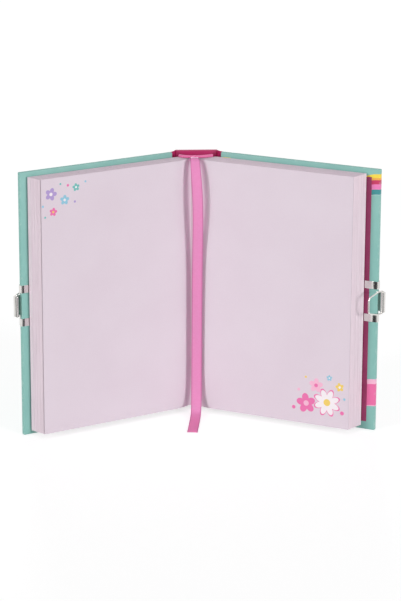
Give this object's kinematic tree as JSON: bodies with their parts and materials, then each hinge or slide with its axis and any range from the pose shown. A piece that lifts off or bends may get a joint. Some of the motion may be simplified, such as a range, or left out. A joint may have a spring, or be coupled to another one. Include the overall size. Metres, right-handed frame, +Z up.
{
  "type": "diary with lock rings",
  "caption": "Hard-cover diary standing open in a V, with sewn leaves, head and tail bands, a ribbon marker and hinged wire lock rings clipped to the fore-edges of its covers.",
  "frame": {"origin": "middle of the spine's foot, on the surface that the diary stands on", "axes": "+Z up along the spine, +X to the back cover at the right of the open pages, the open pages face -Y"},
  "size_m": [0.2456, 0.0724, 0.18],
  "materials": {
    "cover_print": "satin laminate",
    "spine_print": "satin laminate",
    "board": "matt",
    "endpaper": "matt",
    "joint_cloth": "satin laminate",
    "page": "matt",
    "lining": "open weave",
    "band": "woven",
    "ribbon": "satin",
    "metal": "bright nickel"
  },
  "bodies": {
    "spine": {"spine_board": "board", "spine_wrap": "spine_print", "spine_lining": "lining", "head_band": "band", "tail_band": "band", "ribbon_marker": "ribbon", "front_joint_cloth": "joint_cloth", "back_joint_cloth": "joint_cloth"},
    "front_cover": {"front_board": "board", "front_wrap": "cover_print", "front_pastedown": "endpaper", "front_lock_clip": "metal"},
    "front_leaves": {"front_flyleaf": "endpaper", "front_open_leaf": "page", "signature_1": "page", "signature_2": "page", "signature_3": "page", "signature_4": "page"},
    "front_ring": {"front_ring": "metal"},
    "back_cover": {"back_board": "board", "back_wrap": "cover_print", "back_pastedown": "endpaper", "back_lock_clip": "metal"},
    "back_leaves": {"back_flyleaf": "endpaper", "back_open_leaf": "page", "signature_5": "page", "signature_6": "page", "signature_7": "page", "signature_8": "page", "signature_9": "page"},
    "back_ring": {"back_ring": "metal"}
  },
  "joints": [
    {"name": "front_cover_hinge", "type": "hinge", "parent": "spine", "child": "front_cover", "pos_m": [-0.01535, -0.005, 0], "axis": [0, 0, -1], "range_deg": [-62, 28], "deforming": ["front_joint_cloth"]},
    {"name": "front_leaves_slide", "type": "slide", "parent": "front_cover", "child": "front_leaves", "axis": [-0.8829, -0.4695, 0], "range_m": [-0.00206, 0.00455], "deforming": ["spine_lining", "head_band", "tail_band", "ribbon_marker"]},
    {"name": "front_ring_swing", "type": "hinge", "parent": "front_cover", "child": "front_ring", "pos_m": [-0.121, -0.06084, 0.09], "axis": [0, 0, -1], "range_deg": [-255, 0]},
    {"name": "back_cover_hinge", "type": "hinge", "parent": "spine", "child": "back_cover", "pos_m": [0.01535, -0.005, 0], "axis": [0, 0, 1], "range_deg": [-62, 28], "deforming": ["back_joint_cloth"]},
    {"name": "back_leaves_slide", "type": "slide", "parent": "back_cover", "child": "back_leaves", "axis": [0.8829, -0.4695, 0], "range_m": [-0.00392, 0.00865]},
    {"name": "back_ring_swing", "type": "hinge", "parent": "back_cover", "child": "back_ring", "pos_m": [0.121, -0.06084, 0.09], "axis": [0, 0, 1], "range_deg": [0, 255]}
  ],
  "couplings": [
    {"joint": "front_leaves_slide", "follows": "front_cover_hinge", "m_per_rad": -0.0041817},
    {"joint": "back_leaves_slide", "follows": "back_cover_hinge", "m_per_rad": -0.0079752}
  ]
}
